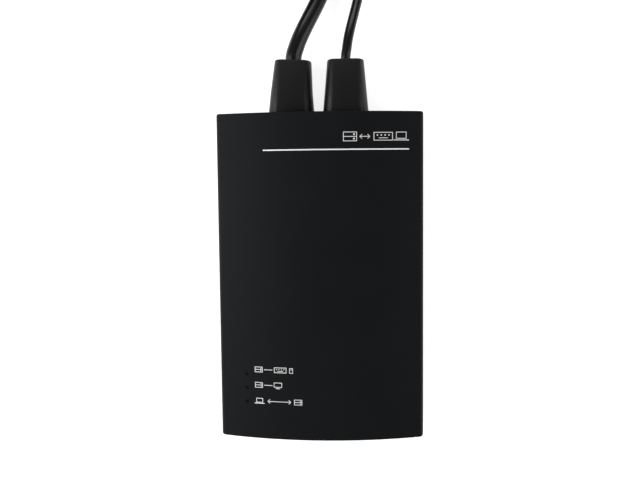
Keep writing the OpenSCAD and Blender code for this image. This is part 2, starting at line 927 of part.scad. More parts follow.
// A piled coil: it spirals in on the lower layer, climbs where it turns back, and spirals out
function coil_total(start, turns) = 360 * turns - start;
function coil_radius(a, total, r, pitch) = r - pitch * min(a, total - a) / 360;
function smooth_share(t) = t * t * (3 - 2 * t);
function coil_share(a, total) =
    smooth_share(min(max((a - total / 2 + climb_angle / 2) / climb_angle, 0), 1));
function coil_point(a, at, low, start, total, r, pitch) =
    let (here = coil_radius(a, total, r, pitch))
    [at.x + here * cos(start + a), at.y + here * sin(start + a), low + pitch * coil_share(a, total)];
function coil_points(at, low, start, total, r, pitch, d) =
    let (n = ceil(total * turn_rings / 360),
        turns = [for (i = [0 : n]) coil_point(total * i / n, at, low, start, total, r, pitch)],
        next = coil_point(probe_angle, at, low, start, total, r, pitch),
        before = coil_point(total - probe_angle, at, low, start, total, r, pitch))
    concat([turns[0] - d * unit(next - turns[0])], turns, [turns[n] + d * unit(turns[n] - before)]);

video_coil = coil_points(video_coil_at, video_low, video_start,
    coil_total(video_start, video_turns), video_coil_r, video_pitch, video_d);
data_coil = coil_points(data_coil_at, data_low, data_start,
    coil_total(data_start, data_turns), data_coil_r, data_pitch, data_d);

// Least distance between two stretches of a coil that aren't neighbours along it
function point_to_run(p, a, b) =
    let (t = min(max((p - a) * (b - a) / ((b - a) * (b - a)), 0), 1))
    norm(p - a - t * (b - a));
function least_gap(points, d) =
    min([for (i = [0 : len(points) - 1], k = [i + turn_rings / 2 : 1 : len(points) - 2])
        point_to_run(points[i], points[k], points[k + 1])]) - d;
echo(video_coil_least_gap = least_gap(video_coil, video_d));
echo(data_coil_least_gap = least_gap(data_coil, data_d));

// The way from a boot's tip to the start of a coil, square to both
function lead_points(exit, lean, route, coil, d) =
    concat([exit], [exit + d / 3 * [-sin(lean), cos(lean), 0]], route,
        [coil[0] - d / 2 * unit(coil[1] - coil[0])], [coil[0]]);
// The way from the end of a coil down to its plug, square to both
function tail_points(coil, plug, d) =
    let (n = len(coil) - 1, out = unit(coil[n] - coil[n - 1]),
        from = coil[n] + d / 2 * out, to = plug - [0, d / 2, 0])
    concat([coil[n], from],
        [for (i = [0 : 1])
            let (s = tail_shares[i], f = tail_fall_shares[i], way = to - from)
            from + [way.x * f, way.y * s, way.z * f]],
        [to, plug]);

function path_length(p) = len(p) < 2 ? 0
    : [for (i = [1 : len(p) - 1]) norm(p[i] - p[i - 1])] * [for (i = [1 : len(p) - 1]) 1];

video_exit = [video_tip_x, half_l + boot_l * cos(video_boot_lean), boot_z];
data_exit = [data_x, tip_y, boot_z];
video_lead = lead_points(video_exit, video_boot_lean, video_route, video_coil, video_d);
data_lead = lead_points(data_exit, 0, data_route, data_coil, data_d);
video_end = tail_points(video_coil, [video_plug_x, video_plug_y, video_plug_z], video_d);
data_end = tail_points(data_coil, [data_plug_x, data_plug_y, data_plug_z], data_d);
echo(video_lead_length = path_length(video_lead) + path_length(video_coil) + path_length(video_end));
echo(data_lead_length = path_length(data_lead) + path_length(data_coil) + path_length(data_end));

module video_cord() color("#101112")
    tube(video_lead, video_d / 2, cord_sides);

module video_cord_coil() color("#101112")
    tube(video_coil, video_d / 2, coil_sides);

module video_cord_tail() color("#101112")
    tube(video_end, video_d / 2, coil_sides);

module data_cord() color("#0e0f10")
    tube(data_lead, data_d / 2, cord_sides);

module data_cord_coil() color("#0e0f10")
    tube(data_coil, data_d / 2, coil_sides);

module data_cord_tail() color("#0e0f10")
    tube(data_end, data_d / 2, coil_sides);

// A wrap round one side of a coil: a flat band that closes over its own end
module coil_tie(at, angle, low, start, turns, r, pitch, d) {
    total = coil_total(start, turns);
    a = (angle - start + 360) % 360;
    b = (360 - angle) % 360;
    outer = max(coil_radius(a, total, r, pitch), coil_radius(total - b, total, r, pitch)) + d / 2;
    inner = min(coil_radius(a + 360 * (turns / 2 - 1), total, r, pitch),
        coil_radius(total - b - 360 * (turns / 2 - 1), total, r, pitch)) - d / 2;
    w = outer - inner + 2 * tie_side_gap;
    h = d + pitch + 2 * rest_gap;
    round = d / 2;
    translate([at.x, at.y, low + pitch / 2])
        rotate([0, 0, angle])
            translate([(outer + inner) / 2, 0, 0])
                along_y(-tie_w / 2, tie_w / 2) {
                    difference() {
                        rounded_rectangle(w + 2 * tie_t, h + 2 * tie_t, round + tie_t);
                        rounded_rectangle(w, h, round);
                    }
                    translate([w / 2 + tie_t, -tie_end_l / 2])
                        square([tie_t, tie_end_l]);
                }
}

module video_coil_tie() color("#1b1c1f")
    coil_tie(video_coil_at, video_tie_angle, video_low, video_start, video_turns, video_coil_r,
        video_pitch, video_d);

module data_coil_tie() color("#1b1c1f")
    coil_tie(data_coil_at, data_tie_angle, data_low, data_start, data_turns, data_coil_r,
        data_pitch, data_d);

// Places a piece of the video plug, drawn from the end of its strain relief along Y
module at_video_plug() {
    translate([video_plug_x, video_plug_y, video_plug_z])
        children();
}

module at_data_plug() {
    translate([data_plug_x, data_plug_y, data_plug_z])
        children();
}

// A ribbed strain relief: a tapered round sleeve with grooves round it
module relief(l, end_r, r) {
    difference() {
        rotate([-90, 0, 0])
            cylinder(r1 = end_r, r2 = r, h = l);
        for (i = [1 : relief_slots])
            along_y(l * i / (relief_slots + 1) - relief_slot_w / 2,
                l * i / (relief_slots + 1) + relief_slot_w / 2)
                difference() {
                    circle(r + over);
                    circle(end_r + (r - end_r) * i / (relief_slots + 1) - relief_slot_depth);
                }
    }
}

// Moulded hood of the video plug: a wide front block for the screws and a narrow grip
module video_plug_hood() color("#18191b") {
    at_video_plug()
        difference() {
            union() {
                relief(relief_l, relief_end_r, relief_r);
                along_y(relief_l, relief_l + hood_step)
                    rounded_rectangle(hood_rear_w - 2 * hood_step, hood_rear_h - hood_step, hood_round);
                along_y(relief_l + hood_step, hood_front_u)
                    rounded_rectangle(hood_rear_w, hood_rear_h, hood_round);
                along_y(hood_front_u, hood_end_u)
                    rounded_rectangle(hood_w, hood_h, hood_round);
            }
            for (s = [-1, 1])
                translate([s * jack_pitch / 2, 0, 0])
                    bar_y(jack_shank_r + jack_gap, hood_front_u - over, hood_end_u + over);
        }
}

// Outline of the plug's tapered shell
module d_outline(inset) {
    r = plug_r - inset;
    y = d_h / 2 - plug_r;
    top_x = d_w / 2 - plug_r;
    low_x = top_x - 2 * y * tan(d_taper_angle);
    rounded_outline([[-low_x, -y], [low_x, -y], [top_x, y], [-top_x, y]], r);
}

// Metal shell of the video plug, drawn with its flange from one sheet
module video_plug_shell() color("#b6b9bc") {
    shell_end_u = hood_end_u + d_flange_t + d_out;
    at_video_plug()
        difference() {
            union() {
                along_y(hood_end_u, hood_end_u + d_flange_t)
                    rounded_rectangle(d_flange_w, d_flange_h, d_flange_r);
                along_y(hood_end_u + d_flange_t / 2, shell_end_u)
                    d_outline(0);
            }
            along_y(hood_end_u - over, shell_end_u + over)
                d_outline(shell_t);
            for (s = [-1, 1])
                translate([s * jack_pitch / 2, 0, 0])
                    bar_y(jack_r + rest_gap, hood_end_u - over, hood_end_u + d_flange_t + over);
        }
}

module video_plug_insert() color("#1d2c63") {
    at_video_plug()
        along_y(hood_end_u, hood_end_u + d_insert_t)
            d_outline(shell_t + fit_gap);
}

// Fifteen contact pins in three rows, the middle row set over by half a pitch
module video_plug_pins() color("#d9b65c") {
    at_video_plug()
        for (row = [-1 : 1], i = [0 : pin_columns - 1])
            translate([(i - (pin_columns - 1) / 2 + (row == 0 ? 1 / 4 : -1 / 4)) * pin_pitch,
                0, row * pin_row_pitch])
                bar_y(pin_r, hood_end_u + d_insert_t, hood_end_u + d_insert_t + pin_l);
}

// Grooved plastic knob of a thumbscrew, with a screwdriver slot in its end
module thumbscrew_knob(s) {
    back = hood_front_u - knob_gap - knob_l;
    front = hood_front_u - knob_gap;
    at_video_plug()
        translate([s * jack_pitch / 2, 0, 0])
            difference() {
                union() {
                    along_y(back + knob_tip, front - knob_tip)
                        difference() {
                            circle(knob_r);
                            for (i = [0 : knob_grooves - 1])
                                rotate(i * 360 / knob_grooves)
                                    translate([knob_r, 0])
                                        circle(knob_groove_r, $fn = 24);
                        }
                    bar_y(knob_r - knob_groove_r, back, front);
                }
                along_y(back - over, back + driver_slot_depth)
                    square([2 * knob_r + over, driver_slot_w], center = true);
                bar_y(jack_shank_r + fit_gap, front - knob_l / 2, front + over);
            }
}

// Steel screw of a thumbscrew, moulded into its knob: its thread starts at the plug's flange
module thumbscrew_screw(s) {
    thread_u = hood_end_u + d_flange_t;
    at_video_plug()
        translate([s * jack_pitch / 2, 0, 0]) {
            bar_y(jack_shank_r, hood_front_u - knob_gap - knob_l / 2, thread_u + jack_out / 2);
            bar_y(jack_r, thread_u, thread_u + jack_out);
        }
}

module thumbscrew_left_knob() color("#1a1b1d")
    thumbscrew_knob(-1);

module thumbscrew_left_screw() color("#c2c4c7")
    thumbscrew_screw(-1);

module thumbscrew_right_knob() color("#1a1b1d")
    thumbscrew_knob(1);

module thumbscrew_right_screw() color("#c2c4c7")
    thumbscrew_screw(1);

// Moulded body of the data plug with its strain relief
module data_plug_body() color("#18191b") {
    at_data_plug() {
        relief(data_relief_l, data_relief_end_r, data_relief_r);
        along_y(data_relief_l, data_relief_l + hood_step)
            rounded_rectangle(data_body_w - 2 * hood_step, data_body_h - hood_step / 2, data_round);
        along_y(data_relief_l + hood_step, data_relief_l + data_body_l)
            rounded_rectangle(data_body_w, data_body_h, data_round);
    }
}

// Metal shell of the data plug, a flat tube with two windows above and below
module data_plug_shell() color("#c6c8ca") {
    front = data_relief_l + data_body_l;
    at_data_plug()
        difference() {
            along_y(front, front + data_shell_l)
                difference() {
                    rounded_rectangle(data_shell_w, data_shell_h, data_shell_corner);
                    rounded_rectangle(data_shell_w - 2 * data_shell_t, data_shell_h - 2 * data_shell_t,
                        data_shell_corner - data_shell_t);
                }
            for (s = [-1, 1])
                translate([s * data_window_pitch / 2 - data_window_w / 2,
                    front + data_shell_l - data_window_from_tip - data_window_l, -data_shell_h])
                    cube([data_window_w, data_window_l, 2 * data_shell_h]);
        }
}

module data_plug_insert() color("#e8e8e6") {
    front = data_relief_l + data_body_l;
    w = data_shell_w - 2 * data_shell_t - 2 * fit_gap;
    low = -data_shell_h / 2 + data_shell_t + fit_gap;
    at_data_plug()
        translate([-w / 2 + data_shell_corner / 2, front, low])
            cube([w - data_shell_corner, data_shell_l - data_insert_inset, data_insert_h]);
}

module data_plug_contacts() color("#d9b65c") {
    front = data_relief_l + data_body_l;
    low = -data_shell_h / 2 + data_shell_t + fit_gap + data_insert_h;
    at_data_plug()
        for (i = [0 : data_contacts - 1])
            translate([(i - (data_contacts - 1) / 2) * data_contact_pitch - data_contact_w / 2,
                front + data_insert_inset, low])
                cube([data_contact_w, data_contact_l, data_contact_t]);
}

top_cover();
bottom_cover();
case_screws();
rubber_feet();
circuit_board();
board_screws();
light_guide();
status_leds();
console_socket_shell();
console_socket_insert();
console_socket_contacts();
video_converter_chip();
logic_chip();
memory_chip();
data_controller_chip();
clock_crystals();
electrolytic_capacitors();
power_inductor();
chip_capacitors();
video_lead_header();
video_lead_housing();
video_lead_wires();
data_lead_header();
data_lead_housing();
data_lead_wires();
video_boot();
data_boot();
video_cord();
video_cord_coil();
video_cord_tail();
video_coil_tie();
data_cord();
data_cord_coil();
data_cord_tail();
data_coil_tie();
video_plug_hood();
video_plug_shell();
video_plug_insert();
video_plug_pins();
thumbscrew_left_knob();
thumbscrew_left_screw();
thumbscrew_right_knob();
thumbscrew_right_screw();
data_plug_body();
data_plug_shell();
data_plug_insert();
data_plug_contacts();
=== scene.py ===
from math import ceil, cos, pi, radians, sin, sqrt

import bmesh
import bpy
from mathutils import Matrix, Vector


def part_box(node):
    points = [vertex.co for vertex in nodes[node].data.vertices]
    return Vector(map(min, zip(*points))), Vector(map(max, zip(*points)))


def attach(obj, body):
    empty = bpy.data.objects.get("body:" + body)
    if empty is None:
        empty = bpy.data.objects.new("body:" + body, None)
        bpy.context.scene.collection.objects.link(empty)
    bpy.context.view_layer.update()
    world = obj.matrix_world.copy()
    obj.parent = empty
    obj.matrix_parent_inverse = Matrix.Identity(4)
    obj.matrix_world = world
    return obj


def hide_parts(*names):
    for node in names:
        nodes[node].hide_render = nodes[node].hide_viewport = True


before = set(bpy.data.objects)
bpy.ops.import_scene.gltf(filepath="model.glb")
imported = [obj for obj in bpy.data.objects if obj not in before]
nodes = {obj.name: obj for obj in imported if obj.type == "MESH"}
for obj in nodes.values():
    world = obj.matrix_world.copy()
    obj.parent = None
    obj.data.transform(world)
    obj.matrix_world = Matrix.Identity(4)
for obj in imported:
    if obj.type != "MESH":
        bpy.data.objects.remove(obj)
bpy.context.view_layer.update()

# The table top: a plain white board under the case, wide enough to fill the view. It is lit
# evenly, so that the black case stands out against white with only a faint shadow round it.


def node_of(material, kind, **values):
    made = material.node_tree.nodes.new(kind)
    for name, value in values.items():
        if name in made.inputs:
            made.inputs[name].default_value = value
        else:
            setattr(made, name, value)
    return made


def wire(material, source, out, target, into):
    material.node_tree.links.new(source.outputs[out], target.inputs[into])


def white_board(name, colour, glow):
    material = bpy.data.materials.new(name)
    material.use_nodes = True
    shader = material.node_tree.nodes["Principled BSDF"]
    shader.inputs["Base Color"].default_value = (*colour, 1)
    shader.inputs["Roughness"].default_value = 0.9
    shader.inputs["Specular IOR Level"].default_value = 0
    shader.inputs["Emission Color"].default_value = (1, 1, 1, 1)
    rays = node_of(material, "ShaderNodeLightPath")
    seen = node_of(material, "ShaderNodeMath", operation="MAXIMUM")
    wire(material, rays, "Is Camera Ray", seen, 0)
    wire(material, rays, "Is Glossy Ray", seen, 1)
    seen_or_through = node_of(material, "ShaderNodeMath", operation="MAXIMUM")
    wire(material, seen, "Value", seen_or_through, 0)
    wire(material, rays, "Is Transmission Ray", seen_or_through, 1)
    strength = node_of(material, "ShaderNodeMath", operation="MULTIPLY")
    wire(material, seen_or_through, "Value", strength, 0)
    strength.inputs[1].default_value = glow
    wire(material, strength, "Value", shader, "Emission Strength")
    return material


board = bmesh.new()
bmesh.ops.create_grid(board, x_segments=2, y_segments=2, size=2.5)
table_mesh = bpy.data.meshes.new("table_top")
board.to_mesh(table_mesh)
board.free()
table_top = bpy.data.objects.new("table_top", table_mesh)
bpy.context.scene.collection.objects.link(table_top)
table_mesh.materials.append(white_board("white_board", (0.6, 0.6, 0.6), 0.74))

# The light: two long soft boxes, one on each side of the table and low, so that the rounded long
# edges catch them, one beyond the leads, one before the near end, and a dim even surround.


def soft_box(name, at, towards, width, height, power):
    lamp = bpy.data.lights.new(name, "AREA")
    lamp.shape = "RECTANGLE"
    lamp.size = width
    lamp.size_y = height
    lamp.energy = power
    placed = bpy.data.objects.new(name, lamp)
    placed.location = at
    placed.rotation_euler = (Vector(towards) - Vector(at)).to_track_quat("-Z", "Y").to_euler()
    bpy.context.scene.collection.objects.link(placed)
    return placed


soft_box("left_box", (-0.80, 0.05, 0.50), (0, 0.02, 0.02), 0.45, 1.0, 9)
soft_box("right_box", (0.85, 0.0, 0.45), (0, 0.02, 0.02), 0.45, 1.0, 3.4)
soft_box("far_box", (0.0, 0.95, 0.55), (0, 0.02, 0.02), 1.0, 0.4, 5)
soft_box("near_box", (0.0, -0.95, 0.55), (0, 0.02, 0.02), 1.0, 0.4, 3.7)
world = bpy.data.worlds.new("surround")
bpy.context.scene.world = world
world.use_nodes = True
world.node_tree.nodes["Background"].inputs["Color"].default_value = (1, 1, 1, 1)
world.node_tree.nodes["Background"].inputs["Strength"].default_value = 0.2
bpy.context.scene.view_settings.view_transform = "Standard"

# The camera hangs a third of a metre above the case, beyond its middle and to its right, and
# looks down a little aslant, so that the near end of the case looks wider than the far one.
camera = bpy.data.cameras.new("camera")
camera.sensor_width = 36
camera.lens = 36 * 772 / 640
camera.clip_start = 0.01
camera_object = bpy.data.objects.new("camera", camera)
camera_object.matrix_world = (
    Matrix.Translation((0.02004, 0.0391, 0.32483))
    @ Matrix.Rotation(radians(-4.557), 4, "X")
    @ Matrix.Rotation(radians(3.731), 4, "Y")
    @ Matrix.Rotation(radians(-0.267), 4, "Z")
)
bpy.context.scene.collection.objects.link(camera_object)
bpy.context.scene.camera = camera_object

# The bottom cover: a black tray of moulded plastic with a fine dull grain, four screw towers, and
# a tongue round its rim. The mould leaves every outer edge very slightly rounded.


def dress(node, material):
    for place in nodes[node].material_slots:
        place.material = material


def tinted(material, shader, coordinates, colour, size, uneven):
    patches = node_of(material, "ShaderNodeTexNoise", Scale=1 / size, Detail=3, Roughness=0.55)
    wire(material, coordinates, 0, patches, "Vector")
    tone = node_of(material, "ShaderNodeValToRGB")
    tone.color_ramp.elements[0].position = 0.3
    tone.color_ramp.elements[1].position = 0.7
    tone.color_ramp.elements[0].color = (*[c * (1 - uneven) for c in colour], 1)
    tone.color_ramp.elements[1].color = (*[c * (1 + uneven) for c in colour], 1)
    wire(material, patches, "Fac", tone, "Fac")
    wire(material, tone, "Color", shader, "Base Color")
    return patches


def moulded(name, colour, grain=0.0005, depth=0.00003, rough=0.5, gloss=0.5, uneven=0.12, coat=0.0):
    material = bpy.data.materials.new(name)
    material.use_nodes = True
    shader = material.node_tree.nodes["Principled BSDF"]
    shader.inputs["Specular IOR Level"].default_value = gloss
    shader.inputs["Coat Weight"].default_value = coat
    shader.inputs["Coat Roughness"].default_value = 0.25
    place = node_of(material, "ShaderNodeTexCoord")
    whole = node_of(material, "ShaderNodeMapping")
    wire(material, place, "Object", whole, "Vector")
    patches = tinted(material, shader, whole, colour, 0.02, uneven)
    dull = node_of(material, "ShaderNodeMapRange")
    dull.inputs["To Min"].default_value = rough - 0.06
    dull.inputs["To Max"].default_value = rough + 0.06
    wire(material, patches, "Fac", dull, "Value")
    wire(material, dull, "Result", shader, "Roughness")
    fine = node_of(material, "ShaderNodeTexNoise", Scale=1 / grain, Detail=2, Roughness=0.6)
    wire(material, whole, "Vector", fine, "Vector")
    raised = node_of(material, "ShaderNodeBump", Strength=0.6, Distance=depth)
    wire(material, fine, "Fac", raised, "Height")
    wire(material, raised, "Normal", shader, "Normal")
    return material


def finished(bm, name, material, node=None, body="adapter", angle=35):
    mesh = bpy.data.meshes.new(name)
    bm.to_mesh(mesh)
    bm.free()
    mesh.materials.append(material)
    mesh.shade_smooth()
    mesh.set_sharp_from_angle(angle=radians(angle))
    made = bpy.data.objects.new(name, mesh)
    bpy.context.scene.collection.objects.link(made)
    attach(made, body)
    if node:
        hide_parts(node)
    return made


def softened(node, radius, material, body="adapter", only=None, clamped=True):
    bm = bmesh.new()
    bm.from_mesh(nodes[node].data)
    bmesh.ops.remove_doubles(bm, verts=bm.verts, dist=0.000002)
    bmesh.ops.dissolve_limit(bm, angle_limit=radians(0.5), verts=bm.verts, edges=bm.edges)
    sharp = [e for e in bm.edges if e.is_manifold and e.calc_face_angle() > radians(30)]
    if only:
        sharp = [e for e in sharp if all(only(vert.co) for vert in e.verts)]
    bmesh.ops.bevel(
        bm, geom=sharp, offset=radius, offset_type="OFFSET", segments=2, profile=0.5,
        affect="EDGES", clamp_overlap=clamped, material=-1,
    )
    bmesh.ops.triangulate(bm, faces=[f for f in bm.faces if len(f.verts) > 4])
    bmesh.ops.dissolve_degenerate(bm, dist=0.000001, edges=bm.edges[:])
    return finished(bm, "moulded_" + node, material, node, body)


edge_round = 0.0003
case_corner = 0.001
near = 0.00001
tray_low, tray_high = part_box("bottom_cover")
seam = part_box("top_cover")[0].z


def on_case_wall(at):
    across = max(abs(at.x) - tray_high.x + case_corner, 0)
    along = max(abs(at.y) - tray_high.y + case_corner, 0)
    return abs(sqrt(across**2 + along**2) - case_corner) < near


def outside_tray(at):
    return on_case_wall(at) and min(abs(at.z - tray_low.z), abs(at.z - seam)) < near


case_black = moulded(
    "case_black", (0.0030, 0.0035, 0.0046), grain=0.00035, depth=0.00003, rough=0.6, gloss=0.11
)
softened("bottom_cover", edge_round, case_black, only=outside_tray, clamped=False)

# The four feet: round pads of soft black rubber, cut from sheet with a softened lower edge. Each
# is glued into its round recess in the tray and stands a little over a millimetre proud.
rubber = moulded("foot_rubber", (0.012, 0.012, 0.0125), grain=0.0008, depth=0.00004, rough=0.75, gloss=0.3)
dress("rubber_feet", rubber)

# The board and what is soldered on it: green lacquered glass-epoxy, black epoxy chips, drawn
# metal cans, a ferrite choke and rows of small ceramic capacitors with tinned ends.


def printed_board(name, lacquer, copper):
    material = moulded(name, lacquer, grain=0.0006, depth=0.00001, rough=0.32, coat=0.4)
    shader = material.node_tree.nodes["Principled BSDF"]
    place = node_of(material, "ShaderNodeTexCoord")
    tracks = node_of(
        material, "ShaderNodeTexBrick", offset=0.37, squash=2.2,
        Scale=320, **{"Mortar Size": 0.018, "Mortar Smooth": 0.1, "Brick Width": 0.9, "Row Height": 0.35},
    )
    tracks.inputs["Color1"].default_value = (*lacquer, 1)
    tracks.inputs["Color2"].default_value = (*[c * 0.85 for c in lacquer], 1)
    tracks.inputs["Mortar"].default_value = (*copper, 1)
    wire(material, place, "Object", tracks, "Vector")
    wire(material, tracks, "Color", shader, "Base Color")
    return material


def plated(name, colour, rough=0.25, scratch=0.0009, depth=0.000004):
    material = moulded(name, colour, grain=scratch, depth=depth, rough=rough, uneven=0.06)
    material.node_tree.nodes["Principled BSDF"].inputs["Metallic"].default_value = 1
    return material


board_green = printed_board("board_green", (0.012, 0.075, 0.03), (0.03, 0.13, 0.05))
chip_black = moulded("chip_black", (0.011, 0.011, 0.012), grain=0.0002, depth=0.00001, rough=0.45)
tin = plated("tinned", (0.62, 0.62, 0.62), rough=0.3)
steel = plated("zinc_steel", (0.46, 0.47, 0.48), rough=0.33)
gold = plated("gold_flash", (0.78, 0.55, 0.22), rough=0.22)
dress("circuit_board", board_green)
for chip in ("video_converter_chip", "logic_chip", "memory_chip", "data_controller_chip"):
    dress(chip, chip_black)
dress("clock_crystals", tin)
dress("electrolytic_capacitors", plated("drawn_can", (0.6, 0.61, 0.63), rough=0.28))
dress("power_inductor", moulded("ferrite", (0.05, 0.05, 0.052), grain=0.0005, depth=0.00002, rough=0.7))
dress("chip_capacitors", moulded("ceramic", (0.4, 0.29, 0.17), grain=0.0004, depth=0.00001, rough=0.4))
dress("board_screws", steel)
dress("case_screws", steel)

# The lights: three pale lamps on the board, and one acrylic moulding with a post and a narrow
# tip for each, which carries their light to the three small holes in the top. Its near-black
# colour is painted shade, which keeps the unlit holes dark.
# Painted shade: the acrylic is coloured near black so that the three unlit holes show dark.
clear = moulded(
    "acrylic_painted_shade", (0.004, 0.004, 0.0045), grain=0.002, depth=0.000002, rough=0.3, gloss=0.15, uneven=0.03
)
clear.node_tree.nodes["Principled BSDF"].inputs["Transmission Weight"].default_value = 0.3
clear.node_tree.nodes["Principled BSDF"].inputs["IOR"].default_value = 1.49
dress("light_guide", clear)
dress("status_leds", moulded("lamp_body", (0.75, 0.72, 0.55), grain=0.0004, depth=0.000005, rough=0.3))

# The console socket in the near end: a folded shell of nickel-plated steel round a black tongue
# with five gilt contacts, soldered to the edge of the board.
nickel = plated("nickel_plate", (0.58, 0.58, 0.565), rough=0.24, scratch=0.0006, depth=0.000006)
dress("console_socket_shell", nickel)
dress("console_socket_insert", moulded("socket_black", (0.012, 0.012, 0.012), grain=0.0003, rough=0.4))
dress("console_socket_contacts", gold)

# The inner ends of the two leads: ivory nylon headers on the board, the housings pushed into
# them, and the thin insulated wires that come out of each jacket.
ivory = moulded("ivory_nylon", (0.72, 0.68, 0.56), grain=0.0006, depth=0.00001, rough=0.42)
wires = moulded("wire_grey", (0.11, 0.115, 0.12), grain=0.0009, depth=0.00001, rough=0.4)
for lead_end in ("video", "data"):
    dress(lead_end + "_lead_header", ivory)
    dress(lead_end + "_lead_housing", ivory)
    dress(lead_end + "_lead_wires", wires)

# The top cover: the arched upper moulding, in the same grained black plastic, screwed on from
# below. It meets the tray in a fine line round the sides, and has three holes for the lights.
crown_radius = 0.132558
crown_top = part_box("top_cover")[1].z


def outside_cover(at):
    on_seam = abs(at.z - seam) < near
    on_arch = abs(Vector((at.x, at.z - crown_top + crown_radius)).length - crown_radius) < near
    beside_openings = at.z > seam + 0.004 and abs(at.x) > 0.036
    return on_case_wall(at) and (on_seam or on_arch or beside_openings)


top_cover = softened("top_cover", edge_round, case_black, only=outside_cover, clamped=False)
cover_mesh = top_cover.data
corner_normals = [corner.vector.copy() for corner in cover_mesh.corner_normals]
for face in cover_mesh.polygons:
    for corner in face.loop_indices:
        place = cover_mesh.vertices[cover_mesh.loops[corner].vertex_index].co
        out = Vector((place.x, 0, place.z - crown_top + crown_radius))
        on_crown = abs(out.length - crown_radius) < 0.00002
        if on_crown and face.normal.dot(out.normalized()) > 0.9:
            corner_normals[corner] = out.normalized()
cover_mesh.normals_split_custom_set(corner_normals)

# The marks on the top: white ink, laid on through a screen in a thin layer that follows the
# arch. A row of plain signs and a rule stand at the far end, and a short row at each light.
ink = 0.00003
stroke = 0.00022
tuck = stroke * 1.1


def crown(x):
    return crown_top - crown_radius + sqrt(crown_radius**2 - x**2)


def line_of_ink(bm, x0, y0, x1, y1, width=stroke):
    along = Vector((x1 - x0, y1 - y0, 0))
    steps = ceil(along.length / 0.0015)
    strip = bmesh.ops.create_grid(bm, x_segments=steps, y_segments=1, size=0.5)["verts"]
    bmesh.ops.scale(bm, vec=(along.length + width, width, 1), verts=strip)
    bmesh.ops.rotate(bm, cent=(0, 0, 0), matrix=along.to_track_quat("X", "Z").to_matrix(), verts=strip)
    bmesh.ops.translate(bm, vec=((x0 + x1) / 2, (y0 + y1) / 2, 0), verts=strip)


def dot_of_ink(bm, x, y, radius):
    spot = bmesh.ops.create_circle(bm, cap_ends=True, segments=16, radius=radius)["verts"]
    bmesh.ops.translate(bm, vec=(x, y, 0), verts=spot)


def frame_of_ink(bm, x, y, width, height):
    steps = ceil(width / 0.0015)
    sheet = bmesh.ops.create_grid(bm, x_segments=steps, y_segments=1, size=0.5)["verts"]
    bmesh.ops.scale(bm, vec=(width + stroke, height + stroke, 1), verts=sheet)
    bmesh.ops.translate(bm, vec=(x, y, 0), verts=sheet)
    inner = [face for face in bm.faces if face.verts[0] in sheet]
    bmesh.ops.inset_region(bm, faces=inner, thickness=stroke, use_boundary=True, use_even_offset=True)
    bmesh.ops.delete(bm, geom=inner, context="FACES")


def monitor_sign(bm, x, y, size):
    frame_of_ink(bm, x, y + size * 0.12, size * 1.35, size * 0.76)
    line_of_ink(bm, x, y - size * 0.26 - tuck, x, y - size * 0.5 + tuck)
    line_of_ink(bm, x - size * 0.35, y - size * 0.5, x + size * 0.35, y - size * 0.5)


def keyboard_sign(bm, x, y, size):
    frame_of_ink(bm, x, y, size * 2.4, size)
    for key in range(4):
        dot_of_ink(bm, x + (key - 1.5) * size * 0.5, y + size * 0.16, size * 0.09)
    line_of_ink(bm, x - size * 0.55, y - size * 0.2, x + size * 0.55, y - size * 0.2)


def server_sign(bm, x, y, size):
    frame_of_ink(bm, x, y, size * 1.5, size)
    line_of_ink(bm, x - size * 0.75 + tuck, y, x + size * 0.75 - tuck, y)
    for row in (-0.25, 0.25):
        dot_of_ink(bm, x + size * 0.45, y + row * size, size * 0.1)


def mouse_sign(bm, x, y, size):
    frame_of_ink(bm, x, y - size * 0.05, size * 0.6, size * 0.9)
    line_of_ink(bm, x, y + size * 0.4 - tuck, x, y + size * 0.1)


def laptop_sign(bm, x, y, size):
    frame_of_ink(bm, x, y + size * 0.12, size * 1.2, size * 0.76)
    line_of_ink(bm, x - size * 0.9, y - size * 0.45, x + size * 0.9, y - size * 0.45, stroke * 1.3)


def arrows_sign(bm, x, y, size):
    barb = 0.0007
    reach = size * 0.8
    line_of_ink(bm, x - reach + stroke * 1.8, y, x + reach - stroke * 1.8, y)
    for way in (-1, 1):
        head = bmesh.ops.create_grid(bm, x_segments=1, y_segments=2, size=0.5)["verts"]
        bmesh.ops.scale(bm, vec=(stroke * sqrt(2), barb * 2 + stroke, 1), verts=head)
        for vert in head:
            vert.co.x -= way * abs(vert.co.y)
        bmesh.ops.translate(bm, vec=(x + way * reach, y, 0), verts=head)


top_row = 0.0552
first_light, second_light, third_light = -0.0368, -0.0431, -0.0496
marks = bmesh.new()
line_of_ink(marks, -0.0214, 0.0503, 0.0350, 0.0503, 0.0005)
server_sign(marks, 0.0124, top_row, 0.0034)
arrows_sign(marks, 0.0181, top_row, 0.0024)
keyboard_sign(marks, 0.0252, top_row, 0.0030)
laptop_sign(marks, 0.0322, top_row, 0.0032)
server_sign(marks, -0.0248, first_light, 0.0020)
line_of_ink(marks, -0.0225, first_light, -0.0193, first_light)
keyboard_sign(marks, -0.0160, first_light, 0.0020)
mouse_sign(marks, -0.0116, first_light, 0.0021)
server_sign(marks, -0.0248, second_light, 0.0020)
line_of_ink(marks, -0.0225, second_light, -0.0193, second_light)
monitor_sign(marks, -0.0170, second_light, 0.0023)
laptop_sign(marks, -0.0246, third_light, 0.0021)
arrows_sign(marks, -0.0165, third_light, 0.0058)
server_sign(marks, -0.0089, third_light, 0.0020)
for flat in [f for f in marks.faces if f.normal.z < 0]:
    flat.normal_flip()
walls = bmesh.ops.extrude_face_region(marks, geom=marks.faces[:])
top_verts = {e for e in walls["geom"] if isinstance(e, bmesh.types.BMVert)}
for vert in marks.verts:
    vert.co.z = crown(vert.co.x) + (ink if vert in top_verts else -ink)
bmesh.ops.recalc_face_normals(marks, faces=marks.faces)
white_ink = moulded("white_ink", (0.78, 0.78, 0.77), grain=0.00025, depth=0.000004, rough=0.5, uneven=0.05)
finished(marks, "top_marks", white_ink)

